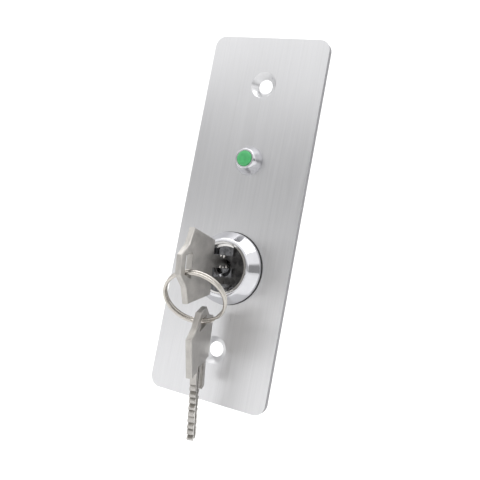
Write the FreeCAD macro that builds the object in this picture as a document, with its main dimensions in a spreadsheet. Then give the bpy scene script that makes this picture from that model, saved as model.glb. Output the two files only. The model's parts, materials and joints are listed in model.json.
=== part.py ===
import FreeCAD, Part
import math
import os

import Sketcher

# Selector key switch on a narrow stainless face plate.
#
# Row frame: origin at the centre of the plate's back face, +Z up the plate,
# the front of the plate faces -Y, millimetres.
#
# Pieces are drawn in a "front view" frame: x to the right, y up and z out of the
# plate towards the person, with z = 0 on the plate's front face. The lock, its
# switch and the keys share that frame on the lock's axis, turned by the clocking
# of the lock in its round hole.

DIMENSIONS = [
    ("plate_width", 40, "face plate, across"),
    ("plate_height", 115, "face plate, along"),
    ("plate_thickness", 2, "face plate, sheet"),
    ("plate_corner", 3.5, "face plate, corner radius"),
    ("screw_spacing", 84, "mounting holes, centre to centre"),
    ("screw_hole", 4.6, "mounting holes, diameter"),
    ("screw_head", 8.5, "mounting holes, countersink diameter"),
    ("led_height", 17.4, "LED axis above the plate's centre"),
    ("hole_clearance", 0.1, "plate and bracket holes round the threads, per side"),
    ("led_rim_width", 0.65, "LED bezel, foot of the cone beyond the thread"),
    ("led_nose_wall", 0.65, "LED bezel, top of the cone beyond the LED"),
    ("led_rise", 3.6, "LED bezel, height over the plate"),
    ("led_rim", 0.7, "LED bezel, straight edge under the cone"),
    ("led_wall", 1, "LED bezel, wall round the LED's flange"),
    ("led_shank", 9.5, "LED bezel, shank behind the plate's front"),
    ("led_lens_radius", 2.45, "LED, body"),
    ("led_flange_step", 0.45, "LED, flange beyond the body"),
    ("led_flange", 1, "LED, flange thickness"),
    ("led_length", 8.6, "LED, lens to flange"),
    ("led_proud", 0.45, "LED, lens over the bezel"),
    ("led_clearance", 0.05, "LED in its bezel"),
    ("led_plug", 2.4, "LED retaining plug, thickness"),
    ("led_lead", 0.5, "LED leads, square section"),
    ("led_lead_pitch", 2.54, "LED leads, centre to centre"),
    ("led_lead_length", 12, "LED leads, behind the flange"),
    ("led_nut_wall", 1.05, "LED nut, flats beyond the thread"),
    ("led_nut_height", 2.4, "LED nut, height"),
    ("led_washer_width", 2.15, "LED lock washer, beyond the thread"),
    ("led_washer", 0.6, "LED lock washer, thickness"),
    ("lock_height", -16.7, "lock axis above the plate's centre"),
    ("lock_clocking", 6.3, "turn of the lock in its hole, degrees"),
    ("gasket", 0.4, "lock gasket, thickness"),
    ("gasket_edge", 0.15, "lock gasket, edge beyond the bezel"),
    ("bezel_skirt", 1.2, "lock bezel, foot beyond the flange"),
    ("bezel_edge", 0.9, "lock bezel, straight edge"),
    ("bezel_lip", 0.75, "lock bezel, top of the slope beyond the neck"),
    ("bezel_rise", 5, "lock bezel, height over the plate"),
    ("bezel_round", 1.1, "lock bezel, rounding of the edges"),
    ("flange_step", 0.6, "lock housing, flange beyond the barrel"),
    ("flange", 1.6, "lock housing, flange thickness"),
    ("neck_wall", 0.65, "lock housing, rim round the plug's head"),
    ("neck_rise", 4.8, "lock housing, rim over the plate"),
    ("barrel_wall", 2.85, "lock housing, threaded barrel round the plug"),
    ("barrel_chamfer", 0.5, "lock housing, broken edge at the back"),
    ("barrel_depth", 19, "lock housing, behind the plate's front"),
    ("press_clearance", 0.03, "pieces that are pushed or screwed together"),
    ("plug_radius", 6.55, "plug, body"),
    ("plug_head_step", 0.75, "plug, head beyond the body"),
    ("plug_head", 1.9, "plug, head thickness"),
    ("plug_face", 4.9, "plug, face over the plate"),
    ("running_clearance", 0.05, "turning and sliding fits, per side"),
    ("recess_half_width", 3.5, "plug face, recess to either side"),
    ("recess_bottom", 5.35, "plug face, recess below the axis"),
    ("recess_depth", 0.6, "plug face, recess depth"),
    ("pocket_bottom", 3.95, "plug face, deep pocket, from the axis"),
    ("pocket_half_width", 3.2, "plug face, deep pocket to either side"),
    ("pocket_depth", 2.2, "plug face, deep pocket depth"),
    ("slot_depth", 1.7, "plug face, slot for the key's tongue"),
    ("index_radius", 0.8, "plug face, index mark at the rim"),
    ("index_place", 6.4, "plug face, index mark below the axis"),
    ("funnel_radius", 2.95, "plug face, cone round the keyway"),
    ("funnel_depth", 1.5, "plug face, depth of the cone"),
    ("keyway_clearance", 0.1, "keyway round the blade, per side"),
    ("tail_square", 7, "plug, square tail"),
    ("tail_thread_radius", 1.65, "plug, tapped hole"),
    ("tail_thread_depth", 8.4, "plug, depth of the tapped hole"),
    ("clip_groove", 0.8, "plug, groove for the retaining clip"),
    ("clip_groove_depth", 0.95, "plug, groove depth"),
    ("clip", 0.7, "retaining clip, thickness"),
    ("clip_reach", 0.6, "retaining clip, beyond the plug"),
    ("stop_washer", 1.2, "stop washer, thickness"),
    ("stop_washer_step", 0.6, "stop washer, inside the barrel's edge"),
    ("stop_clearance", 0.25, "stop post, beyond the clip"),
    ("stop_half_angle", 7, "stop post, half angle, degrees"),
    ("turn_angle", 90, "turn between the two positions, degrees"),
    ("stop_play", 0.6, "play of the stop at each end, degrees"),
    ("cam", 2.5, "cam, thickness"),
    ("cam_low_radius", 6.6, "cam, radius under the plunger at rest"),
    ("cam_lift", 0.5, "cam, lift over the whole turn"),
    ("cam_washer", 0.8, "cam washer, thickness"),
    ("cam_washer_radius", 5.5, "cam washer, outer radius"),
    ("cam_screw_radius", 1.6, "cam screw, shank"),
    ("cam_screw_length", 7.5, "cam screw, shank length"),
    ("cam_screw_head_radius", 3.5, "cam screw, head"),
    ("cam_screw_head", 2.2, "cam screw, head height"),
    ("wafer_count", 5, "wafers along the plug"),
    ("wafer_first", 1.6, "first wafer behind the plate's front"),
    ("wafer_pitch", 1.9, "wafers, centre to centre"),
    ("wafer", 1, "wafer, thickness"),
    ("wafer_half_width", 3, "wafer, half width"),
    ("wafer_lug", 4.9, "wafer, reach of the spring lug"),
    ("wafer_lug_top", 3.2, "wafer, top of the spring lug"),
    ("wafer_lug_bottom", 2, "wafer, underside of the spring lug"),
    ("wafer_throw", 1.15, "lock housing, wafer slots beyond the plug"),
    ("wafer_spring_foot", 2.5, "wafer spring, foot below the axis"),
    ("wafer_spring_side", 4, "wafer spring, axis beside the plug's axis"),
    ("wafer_spring_radius", 0.55, "wafer spring, coil radius"),
    ("wafer_wire_radius", 0.12, "wafer spring, wire radius"),
    ("wafer_spring_coils", 5, "wafer spring, coils"),
    ("lock_washer", 0.9, "lock washer, thickness"),
    ("lock_washer_width", 3, "lock washer, beyond the barrel"),
    ("washer_teeth", 12, "toothed washers, number of teeth"),
    ("lock_nut", 4, "lock nut, height"),
    ("lock_nut_wall", 2.6, "lock nut, flats beyond the barrel"),
    ("bracket", 1, "switch bracket, sheet"),
    ("bracket_side", 0.5, "switch bracket, width beyond its hole"),
    ("bracket_toe", 2.5, "switch bracket, foot beyond its hole"),
    ("bracket_gap", 0.6, "switch bracket, web clear of the switch case"),
    ("bracket_tab_gap", 0.7, "switch bracket, tab clear of the barrel"),
    ("switch_clearance", 0.3, "switch case, clear of the stop post"),
    ("switch_length", 19.8, "switch case, length"),
    ("switch_height", 10.2, "switch case, height"),
    ("switch_depth", 6.4, "switch case with its cover"),
    ("switch_cover", 1.85, "switch cover, thickness"),
    ("switch_wall", 1.2, "switch case, walls"),
    ("switch_offset", 2.3, "switch case, centre beside the plunger"),
    ("switch_hole_pitch", 9.5, "switch case, mounting holes"),
    ("switch_hole_height", 7.8, "switch case, mounting holes over the base"),
    ("switch_hole_radius", 1.1, "switch case, radius of the mounting holes"),
    ("switch_boss_radius", 1.7, "switch case, bosses round those holes"),
    ("plunger", 2.4, "switch plunger, square section"),
    ("plunger_collar", 0.6, "switch plunger, collar to either side"),
    ("plunger_collar_height", 0.7, "switch plunger, collar height"),
    ("leaf_height", 3.2, "contact leaf, underside over the base"),
    ("leaf", 0.3, "contact leaf, thickness"),
    ("leaf_width", 2.7, "contact leaf, width"),
    ("leaf_pivot", 5.3, "contact leaf, pivot beside the plunger"),
    ("leaf_reach", 7.3, "contact leaf, tip beside the plunger"),
    ("contact_place", 6.4, "contacts, beside the plunger"),
    ("contact_radius", 0.9, "contacts, radius"),
    ("contact_height", 0.35, "contacts, height"),
    ("contact_gap", 0.05, "closed contacts, clearance"),
    ("terminal", 0.5, "terminals, strip thickness"),
    ("terminal_width", 2.6, "terminals, strip width"),
    ("terminal_reach", 4.2, "terminals, outside the case"),
    ("terminal_eye", 0.75, "terminals, radius of the eye"),
    ("fixing_radius", 1, "switch screws, shank"),
    ("fixing_head_radius", 1.9, "switch screws, head"),
    ("fixing_head", 1.3, "switch screws, head height"),
    ("fixing_nut", 1.6, "switch nuts, height"),
    ("fixing_nut_flats", 4, "switch nuts, across flats"),
    ("key", 1.8, "key, thickness"),
    ("key_stand_off", 11.9, "key, front of the bow over the plate"),
    ("bow_front", 8, "key bow, half width at the blade"),
    ("bow_back", 10.4, "key bow, half width at the corners"),
    ("bow_corner", 11.9, "key bow, corners behind its front"),
    ("bow_shoulder", 5.9, "key bow, half width at the shoulders"),
    ("bow_shoulder_place", 13.6, "key bow, shoulders behind its front"),
    ("bow_tab", 2.65, "key bow, half width of the end"),
    ("bow_length", 17, "key bow, length"),
    ("bow_edge", 0.25, "key bow, broken edges"),
    ("eye_near", 3.6, "key eye, half width towards the blade"),
    ("eye_far", 2.6, "key eye, half width towards the end"),
    ("eye_start", 11.6, "key eye, start behind the bow's front"),
    ("eye_end", 14.8, "key eye, end behind the bow's front"),
    ("blade_top", 3.7, "key blade, upper edge from the key's middle"),
    ("blade_height", 3.8, "key blade, height"),
    ("blade_length", 21.5, "key blade, length"),
    ("blade_tip", 1.2, "key blade, slope of the tip"),
    ("blade_groove", 1.1, "key blade, groove width"),
    ("blade_groove_depth", 0.4, "key blade, groove depth"),
    ("cut_count", 9, "key blade, cuts on each edge"),
    ("cut_pitch", 1.9, "key blade, cuts, centre to centre"),
    ("cut_first", 4.4, "key blade, first cut from the bow"),
    ("cut_half_width", 0.85, "key blade, half width of a cut"),
    ("cut_shallow", 0.5, "key blade, shallowest cut"),
    ("cut_step", 0.22, "key blade, step between cut depths"),
    ("tongue_inner", 2.8, "key tongue, inner side from the key's middle"),
    ("tongue_outer", 4.95, "key tongue, outer side from the key's middle"),
    ("tongue_length", 8.1, "key tongue, length in front of the bow"),
    ("ring_radius", 8.6, "key ring, to the middle of the wire"),
    ("ring_wire", 0.5, "key ring, wire radius"),
    ("ring_turns_apart", 0.92, "key ring, distance between its two turns"),
    ("ring_slit", 0.5, "key ring, gap at the end of each turn"),
    ("ring_seat", 1.9, "key ring, wire below the key's middle"),
    ("ring_eye_place", 13.2, "key ring, wire behind the bow's front"),
    ("ring_tilt", 8.4, "key ring, tilt of the wire in the key's eye, degrees"),
    ("ring_yaw", 3.9, "key ring, turn of the wire in the key's eye, degrees"),
    ("ring_lean", 38.6, "key ring, lean towards the plate, degrees"),
    ("spare_round", 5.65, "spare key, place on the ring beside the lowest, degrees"),
    ("spare_seat", 1, "spare key, wire beside the key's middle"),
    ("spare_eye_place", 13.14, "spare key, wire behind its bow's front"),
    ("spare_turn", 165, "spare key, turn in the plane of the ring, degrees"),
    ("spare_tilt", -1.4, "spare key, tilt on the ring, degrees"),
    ("spare_lean", 112.7, "spare key, lean on the ring, degrees"),
]

PLATE_FRAME = "placement(vector(0; 0; 0); rotationx(90))"
LED_FRAME = "placement(vector(0; -Dims.plate_thickness; Dims.led_height); rotationx(90))"
LOCK_FRAME = (
    "placement(vector(0; -Dims.plate_thickness; Dims.lock_height);"
    " rotationx(90) * rotationz(Dims.lock_clocking))"
)
# The cam and the switch hang below the lock: the same frame, upside down.
SWITCH_FRAME = LOCK_FRAME + " * placement(vector(0; 0; 0); rotationz(180))"
KEY_FRAME = LOCK_FRAME + " * placement(vector(0; 0; Dims.key_stand_off); rotationx(0))"
# The ring's frame sits where its wire goes through the key's eye, x along the wire.
RING_FRAME = (
    LOCK_FRAME + " * placement(vector(0; -Dims.ring_seat; Dims.key_stand_off + Dims.ring_eye_place);"
    " rotationz(Dims.ring_tilt) * rotationy(Dims.ring_yaw) * rotationx(Dims.ring_lean))"
)
# The spare key hangs near the ring's lowest place, with the wire through its eye.
SPARE_FRAME = (
    RING_FRAME + " * placement(vector(-Dims.ring_radius * sin(Dims.spare_round);"
    " -Dims.ring_radius - Dims.ring_radius * cos(Dims.spare_round); 0);"
    " rotationz(Dims.spare_turn) * rotationy(Dims.spare_tilt) * rotationx(Dims.spare_lean))"
    " * placement(vector(0; Dims.spare_seat; -Dims.spare_eye_place); rotationx(0))"
)

# Radii and places that follow from the piece inside or beside them.
LED_FLANGE = "(Dims.led_lens_radius + Dims.led_flange_step)"
LED_THREAD = f"({LED_FLANGE} + Dims.led_clearance + Dims.led_wall)"
LED_HOLE = f"({LED_THREAD} + Dims.hole_clearance)"
PLUG_HEAD = "(Dims.plug_radius + Dims.plug_head_step)"
NECK = f"({PLUG_HEAD} + Dims.neck_wall)"
BARREL = "(Dims.plug_radius + Dims.barrel_wall)"
LOCK_HOLE = f"({BARREL} + Dims.hole_clearance)"
FLANGE = f"({BARREL} + Dims.flange_step)"
BEZEL_FOOT = f"({FLANGE} + Dims.bezel_skirt)"
BEZEL_TOP = f"({NECK} + Dims.bezel_lip)"
CLIP_SEAT = "(Dims.plug_radius - Dims.clip_groove_depth)"
CLIP_EDGE = "(Dims.plug_radius + Dims.clip_reach)"
STOP_INNER = f"({CLIP_EDGE} + Dims.stop_clearance)"
STOP_OUTER = f"({BARREL} - Dims.barrel_chamfer)"
STOP_WASHER_EDGE = f"({BARREL} - Dims.stop_washer_step)"
NUT_FLATS = f"(2 * ({BARREL} + Dims.lock_nut_wall))"
LOCK_WASHER_EDGE = f"({BARREL} + Dims.lock_washer_width)"
BRACKET_HALF = f"({LOCK_HOLE} + Dims.bracket_side)"
SWITCH_BASE = f"({STOP_OUTER} + Dims.switch_clearance)"
BRACKET_WEB = f"({SWITCH_BASE} + Dims.switch_height + Dims.bracket_gap)"

# Places along the lock's axis that several pieces share.
PLUG_NECK = "(Dims.plug_face - Dims.plug_head)"
CLIP_TOP = "(-Dims.barrel_depth - Dims.clip_groove / 2 + Dims.clip / 2 - 0.1)"
PLUG_SHOULDER = "(-Dims.barrel_depth - Dims.clip_groove - 0.2)"
STOP_TOP = "(" + PLUG_SHOULDER + " - Dims.running_clearance)"
CAM_TOP = "(" + STOP_TOP + " - Dims.stop_washer - Dims.running_clearance)"
CAM_BACK = "(" + CAM_TOP + " - Dims.cam)"
CAM_MIDDLE = "(" + CAM_TOP + " - Dims.cam / 2)"
CASE_FRONT = "(" + CAM_MIDDLE + " + Dims.switch_depth / 2)"
COVER_FRONT = "(" + CASE_FRONT + " - Dims.switch_depth + Dims.switch_cover)"
CASE_BACK = "(" + CASE_FRONT + " - Dims.switch_depth)"
BRACKET_BACK = "(-Dims.plate_thickness - Dims.bracket)"
WASHER_BACK = "(" + BRACKET_BACK + " - Dims.lock_washer)"
KEYWAY_HALF = "(Dims.key / 2 + Dims.keyway_clearance)"
BLADE_LOW = "(Dims.blade_top - Dims.blade_height)"
BLADE_ROOM = (f"({BLADE_LOW} - Dims.keyway_clearance)", "(Dims.blade_top + Dims.keyway_clearance)")
BLADE_TIP = "(Dims.key_stand_off - Dims.blade_length)"

doc = FreeCAD.newDocument("selector_key_switch")
pieces = []


# ---------------------------------------------------------------- helpers


def make_sheet():
    """The spreadsheet that holds every driving dimension."""
    sheet = doc.addObject("Spreadsheet::Sheet", "Dims")
    for row, (alias, size, meaning) in enumerate(DIMENSIONS, start=1):
        sheet.set(f"A{row}", meaning)
        sheet.set(f"B{row}", str(size))
        sheet.setAlias(f"B{row}", alias)
    doc.recompute()
    return sheet


dims = make_sheet()


def size_of(alias):
    return float(dims.get(alias))


def whole(alias):
    return int(round(size_of(alias)))


def bind(item, **expressions):
    """Tie properties to cells; an underscore in a name stands for a dot."""
    for prop, expression in expressions.items():
        item.setExpression(prop.replace("_", "."), str(expression))
    return item


def cylinder(name, radius, low, high, x="0", y="0"):
    item = doc.addObject("Part::Cylinder", name)
    bind(item, Radius=radius, Height=f"({high}) - ({low})")
    return bind(item, Placement_Base_x=x, Placement_Base_y=y, Placement_Base_z=low)


def cone(name, low_radius, high_radius, low, high):
    item = doc.addObject("Part::Cone", name)
    bind(item, Radius1=low_radius, Radius2=high_radius, Height=f"({high}) - ({low})")
    return bind(item, Placement_Base_z=low)


def block(name, x, y, z):
    """A box between pairs of low and high places."""
    item = doc.addObject("Part::Box", name)
    for size_name, axis, (low, high) in zip(("Length", "Width", "Height"), "xyz", (x, y, z)):
        bind(item, **{size_name: f"({high}) - ({low})", f"Placement_Base_{axis}": low})
    return item


def hexagon(name, flats, low, high, x="0", y="0"):
    """A six-sided prism, by its size across flats."""
    item = doc.addObject("Part::Prism", name)
    item.Polygon = 6
    bind(item, Circumradius=f"({flats}) / sqrt(3)", Height=f"({high}) - ({low})")
    return bind(item, Placement_Base_x=x, Placement_Base_y=y, Placement_Base_z=low)


def either_side(half):
    return f"-({half})", half


def fuse(name, *items):
    item = doc.addObject("Part::MultiFuse", name)
    item.Shapes = list(items)
    return item


def cut(name, base, *tools):
    item = doc.addObject("Part::Cut", name)
    item.Base = base
    item.Tool = tools[0] if len(tools) == 1 else fuse(name + "_tools", *tools)
    return item


def common(name, *items):
    item = doc.addObject("Part::MultiCommon", name)
    item.Shapes = list(items)
    return item


def tube(name, outer, inner, low, high):
    shell = cylinder(name + "_outside", outer, low, high)
    return cut(name, shell, cylinder(name + "_inside", inner, f"({low}) - 1", f"({high}) + 1"))


def piece(item, name, frame):
    """Declare a finished piece: its label names its file, its frame places it."""
    item.Label = name
    item.setExpression("Placement", frame)
    pieces.append(item)
    return item


def solid_piece(name, shape, placement):
    """A piece whose shape no feature makes: the shape first, then its place."""
    item = doc.addObject("Part::Feature", name)
    item.Shape = shape
    item.Placement = placement
    item.Label = name
    pieces.append(item)
    return item


def frame_placement(frame):
    """The placement that an expression gives, read off a helper object."""
    item = doc.addObject("App::Placement", "frame_reader")
    item.setExpression("Placement", frame)
    doc.recompute()
    placement = FreeCAD.Placement(item.Placement)
    doc.removeObject(item.Name)
    return placement


def value_of(expression):
    """The size that an expression gives."""
    return frame_placement(f"placement(vector(0; 0; {expression}); rotationx(0))").Base.z


def new_body(name):
    return doc.addObject("PartDesign::Body", name)


def sketch_on(body, role, name, offset="0"):
    """A sketch on one of the body's own origin planes, lifted by an offset."""
    sketch = body.newObject("Sketcher::SketchObject", name)
    plane = [item for item in body.Origin.OriginFeatures if item.Role == role][0]
    sketch.AttachmentSupport = (plane, "")
    sketch.MapMode = "FlatFace"
    sketch.setExpression("AttachmentOffset.Base.z", offset)
    return sketch


def polygon(sketch, corners):
    """A closed outline whose corners are pairs of expressions."""
    first = sketch.GeometryCount
    count = len(corners)
    angles = [2 * math.pi * i / count for i in range(count)]
    start = [FreeCAD.Vector(math.cos(a), math.sin(a), 0) for a in angles]
    for i in range(count):
        sketch.addGeometry(Part.LineSegment(start[i], start[(i + 1) % count]), False)
    for i in range(count):
        following = first + (i + 1) % count
        sketch.addConstraint(Sketcher.Constraint("Coincident", first + i, 2, following, 1))
    for i, (x, y) in enumerate(corners):
        for kind, place, guess in (("DistanceX", x, start[i].x), ("DistanceY", y, start[i].y)):
            index = sketch.addConstraint(Sketcher.Constraint(kind, -1, 1, first + i, 1, guess))
            sketch.setExpression(f"Constraints[{index}]", str(place))


def circle(sketch, x, y, radius):
    """A circle whose centre and radius are expressions."""
    centre = FreeCAD.Vector(1, 1, 0)
    index = sketch.addGeometry(Part.Circle(centre, FreeCAD.Vector(0, 0, 1), 1), False)
    for kind, place in (("DistanceX", x), ("DistanceY", y)):
        place_index = sketch.addConstraint(Sketcher.Constraint(kind, -1, 1, index, 3, 1))
        sketch.setExpression(f"Constraints[{place_index}]", str(place))
    radius_index = sketch.addConstraint(Sketcher.Constraint("Radius", index, 1))
    sketch.setExpression(f"Constraints[{radius_index}]", str(radius))


def pad(body, sketch, length, midplane=False):
    feature = body.newObject("PartDesign::Pad", sketch.Name + "_pad")
    feature.Profile = sketch
    feature.setExpression("Length", length)
    feature.Midplane = midplane
    return feature


def pocket(body, sketch, length=None, reverse=False):
    """A pocket of a stated depth, or right through both ways."""
    feature = body.newObject("PartDesign::Pocket", sketch.Name + "_pocket")
    feature.Profile = sketch
    feature.Reversed = reverse
    if length is None:
        feature.Type = "ThroughAll"
        feature.Midplane = True
    else:
        feature.setExpression("Length", length)
    return feature


def turned(name, outline):
    """A body turned about its own z axis from (radius, height) corners."""
    body = new_body(name)
    sketch = sketch_on(body, "XZ_Plane", name + "_profile")
    polygon(sketch, outline)
    feature = body.newObject("PartDesign::Revolution", name + "_turning")
    feature.Profile = sketch
    feature.ReferenceAxis = (sketch, ["V_Axis"])
    feature.Angle = 360
    return body


def edges_where(feature, test):
    return [f"Edge{i}" for i, edge in enumerate(feature.Shape.Edges, start=1) if test(edge)]


def dress(body, kind, base, edges, size):
    """A PartDesign Fillet or Chamfer on chosen edges of the last feature."""
    feature = body.newObject("PartDesign::" + kind, body.Name + "_" + kind.lower())
    feature.Base = (base, edges)
    feature.setExpression("Radius" if kind == "Fillet" else "Size", size)
    return feature


# ---------------------------------------------------------------- face plate


def face_plate():
    body = new_body("plate_body")
    outline = sketch_on(body, "XY_Plane", "plate_outline")
    half_width, half_height = "Dims.plate_width / 2", "Dims.plate_height / 2"
    low_x, high_x = either_side(half_width)
    low_y, high_y = either_side(half_height)
    polygon(outline, [(low_x, low_y), (high_x, low_y), (high_x, high_y), (low_x, high_y)])
    sheet = pad(body, outline, "Dims.plate_thickness")
    doc.recompute()

    def upright(edge):
        return abs(edge.tangentAt(edge.FirstParameter).z) > 0.99

    dress(body, "Fillet", sheet, edges_where(sheet, upright), "Dims.plate_corner")
    openings = sketch_on(body, "XY_Plane", "plate_openings")
    circle(openings, "0", "Dims.led_height", LED_HOLE)
    circle(openings, "0", "Dims.lock_height", LOCK_HOLE)
    pocket(body, openings)
    screws = sketch_on(body, "XY_Plane", "screw_places", "Dims.plate_thickness")
    for side in ("Dims.screw_spacing / 2", "-Dims.screw_spacing / 2"):
        circle(screws, "0", side, "Dims.screw_hole / 2")
    doc.recompute()
    holes = body.newObject("PartDesign::Hole", "screw_holes")
    holes.Profile = screws
    holes.DepthType = "ThroughAll"
    holes.HoleCutType = "Countersink"
    holes.HoleCutCountersinkAngle = 90
    holes.setExpression("Diameter", "Dims.screw_hole")
    holes.setExpression("HoleCutDiameter", "Dims.screw_head")
    piece(body, "face_plate", PLATE_FRAME)


# ---------------------------------------------------------------- LED


def led_pieces():
    lens_room = "(Dims.led_lens_radius + Dims.led_clearance)"
    flange_room = f"({LED_FLANGE} + Dims.led_clearance)"
    lens_face = "(Dims.led_rise + Dims.led_proud)"
    flange_front = f"({lens_face} - Dims.led_length + Dims.led_flange)"
    flange_back = f"({lens_face} - Dims.led_length)"
    plug_back = f"({flange_back} - Dims.led_plug)"
    led_base = f"({LED_THREAD} + Dims.led_rim_width)"

    bezel = turned("led_bezel_body", [
        (lens_room, "Dims.led_rise"),
        ("Dims.led_lens_radius + Dims.led_nose_wall", "Dims.led_rise"),
        (led_base, "Dims.led_rim"),
        (led_base, "0"),
        (LED_THREAD, "0"),
        (LED_THREAD, "-Dims.led_shank"),
        (flange_room, "-Dims.led_shank"),
        (flange_room, f"{flange_front} + Dims.led_clearance"),
        (lens_room, f"{flange_front} + Dims.led_clearance"),
    ])
    piece(bezel, "led_bezel", LED_FRAME)

    body = turned("led_body", [
        ("0", flange_back),
        (LED_FLANGE, flange_back),
        (LED_FLANGE, flange_front),
        ("Dims.led_lens_radius", flange_front),
        ("Dims.led_lens_radius", f"{lens_face} - 0.2"),
        ("Dims.led_lens_radius - 0.2", lens_face),
        ("0", lens_face),
    ])
    piece(body, "led_lens", LED_FRAME)

    leads, rooms = [], []
    half_lead = "Dims.led_lead / 2"
    for number, side in enumerate(("-Dims.led_lead_pitch / 2", "Dims.led_lead_pitch / 2")):
        across = (f"{side} - {half_lead}", f"{side} + {half_lead}")
        lead_end = f"{flange_back} - Dims.led_lead_length"
        leads.append(block(f"lead_{number}", across, either_side(half_lead), (lead_end, flange_back)))
        wide = (f"{side} - {half_lead} - 0.1", f"{side} + {half_lead} + 0.1")
        room = (f"{plug_back} - 1", f"{flange_back} + 1")
        rooms.append(block(f"lead_room_{number}", wide, either_side(half_lead + " + 0.1"), room))
    piece(fuse("leads", *leads), "led_leads", LED_FRAME)

    plug = cylinder("led_plug_disc", LED_FLANGE, plug_back, flange_back)
    piece(cut("led_plug_cut", plug, *rooms), "led_plug", LED_FRAME)

    washer_back = "(-Dims.plate_thickness - Dims.led_washer)"
    shank_room = f"({LED_THREAD} + Dims.press_clearance)"
    washer = toothed_washer("led_washer_ring", f"({LED_THREAD} + Dims.led_washer_width)", shank_room,
                            washer_back, "-Dims.plate_thickness")
    piece(washer, "led_washer", LED_FRAME)
    nut = nut_shape("led_nut_shape", f"2 * ({LED_THREAD} + Dims.led_nut_wall)", shank_room,
                    f"{washer_back} - Dims.led_nut_height", washer_back)
    piece(nut, "led_nut", LED_FRAME)


def toothed_washer(name, outer, inner, low, high):
    """A flat washer with slots round its outer edge."""
    slots = []
    count = whole("washer_teeth")
    for i in range(count):
        slot = block(f"{name}_slot_{i}", (f"{outer} - 0.9", f"{outer} + 1"), either_side("0.45"),
                     (f"{low} - 1", f"{high} + 1"))
        turn = f"rotationz({360 * i} / Dims.washer_teeth)"
        corner = f"vector({outer} - 0.9; -0.45; {low} - 1)"
        slot.setExpression("Placement", f"placement(vector(0; 0; 0); {turn})"
                                        f" * placement({corner}; rotationx(0))")
        slots.append(slot)
    return cut(name, tube(name + "_ring", outer, inner, low, high), *slots)


def nut_shape(name, flats, inner, low, high):
    """A hexagon nut with its corners turned off at the outer face."""
    middle = f"(({low}) + ({high})) / 2"
    blank = hexagon(name + "_blank", flats, low, high)
    outer = f"({flats}) * 0.52 + ({middle} - ({low})) * 2"
    crown = cone(name + "_crown", f"({flats}) * 0.52", outer, low, middle)
    band = cylinder(name + "_band", outer, middle, high)
    rounded = common(name + "_rounded", blank, fuse(name + "_envelope", crown, band))
    bore = cylinder(name + "_bore", inner, f"({low}) - 1", f"({high}) + 1")
    return cut(name, rounded, bore)


# ---------------------------------------------------------------- lock


def lock_front_pieces():
    gasket = tube("gasket_ring", f"{BEZEL_FOOT} + Dims.gasket_edge", LOCK_HOLE, "0", "Dims.gasket")
    piece(gasket, "lock_gasket", LOCK_FRAME)

    flange_room = f"({FLANGE} + Dims.press_clearance)"
    neck_room = f"({NECK} + Dims.press_clearance)"
    flange_top = "(Dims.gasket + Dims.flange + Dims.press_clearance)"
    body = turned("bezel_body", [
        (flange_room, "Dims.gasket"),
        (BEZEL_FOOT, "Dims.gasket"),
        (BEZEL_FOOT, "Dims.gasket + Dims.bezel_edge"),
        (BEZEL_TOP, "Dims.bezel_rise"),
        (neck_room, "Dims.bezel_rise"),
        (neck_room, flange_top),
        (flange_room, flange_top),
    ])
    doc.recompute()
    turning = body.Tip
    edge_height = size_of("gasket") + size_of("bezel_edge")
    top_radius = value_of(BEZEL_TOP)

    def on_the_slope(edge):
        if edge.Curve.TypeId != "Part::GeomCircle":
            return False
        at_foot = abs(edge.Curve.Center.z - edge_height) < 1e-6
        return at_foot or abs(edge.Curve.Radius - top_radius) < 1e-6

    dress(body, "Fillet", turning, edges_where(turning, on_the_slope), "Dims.bezel_round")
    piece(body, "lock_bezel", LOCK_FRAME)


def lock_housing():
    """Turned housing with four rows of wafer slots and the stop post at the back."""
    bore = "(Dims.plug_radius + Dims.running_clearance)"
    head_bore = f"({PLUG_HEAD} + Dims.running_clearance)"
    head_floor = f"({PLUG_NECK} - Dims.running_clearance)"
    flange_top = "(Dims.gasket + Dims.flange)"
    body = turned("housing_body", [
        (bore, "-Dims.barrel_depth"),
        (STOP_OUTER, "-Dims.barrel_depth"),
        (BARREL, "-Dims.barrel_depth + Dims.barrel_chamfer"),
        (BARREL, "Dims.gasket"),
        (FLANGE, "Dims.gasket"),
        (FLANGE, flange_top),
        (NECK, flange_top),
        (NECK, "Dims.neck_rise"),
        (head_bore, "Dims.neck_rise"),
        (head_bore, head_floor),
        (bore, head_floor),
    ])
    side = either_side("Dims.wafer_half_width + 0.1")
    reach = either_side("Dims.plug_radius + Dims.wafer_throw")
    last_wafer = "(Dims.wafer_first + (Dims.wafer_count - 1) * Dims.wafer_pitch)"
    rows = (f"-{last_wafer} - Dims.wafer_pitch", "-Dims.wafer_first + Dims.wafer_pitch / 2")
    upright_slots = block("upright_slots", side, reach, rows)
    level_slots = block("level_slots", reach, side, rows)
    slotted = cut("housing_slotted", body, upright_slots, level_slots)
    post_top = "-Dims.barrel_depth + 0.5"
    post_end = f"{STOP_TOP} - Dims.stop_washer"
    post = sector("stop_post", STOP_INNER, STOP_OUTER, post_end, post_top,
                  "-90 - Dims.stop_half_angle", "2 * Dims.stop_half_angle")
    piece(fuse("housing_whole", slotted, post), "lock_housing", LOCK_FRAME)


def sector(name, inner, outer, low, high, start, sweep):
    """A slice of a ring, from a start angle over a sweep."""
    slices = []
    for part_name, radius, bottom, top in (
        ("outside", outer, low, high),
        ("inside", inner, f"({low}) - 1", f"({high}) + 1"),
    ):
        item = cylinder(f"{name}_{part_name}", radius, bottom, top)
        slices.append(item)
    slices[0].setExpression("Angle", sweep)
    slices[0].setExpression("Placement", f"placement(vector(0; 0; {low}); rotationz({start}))")
    return cut(name, *slices)


def wafer_place(number):
    return f"(-Dims.wafer_first - {number} * Dims.wafer_pitch)"


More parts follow.
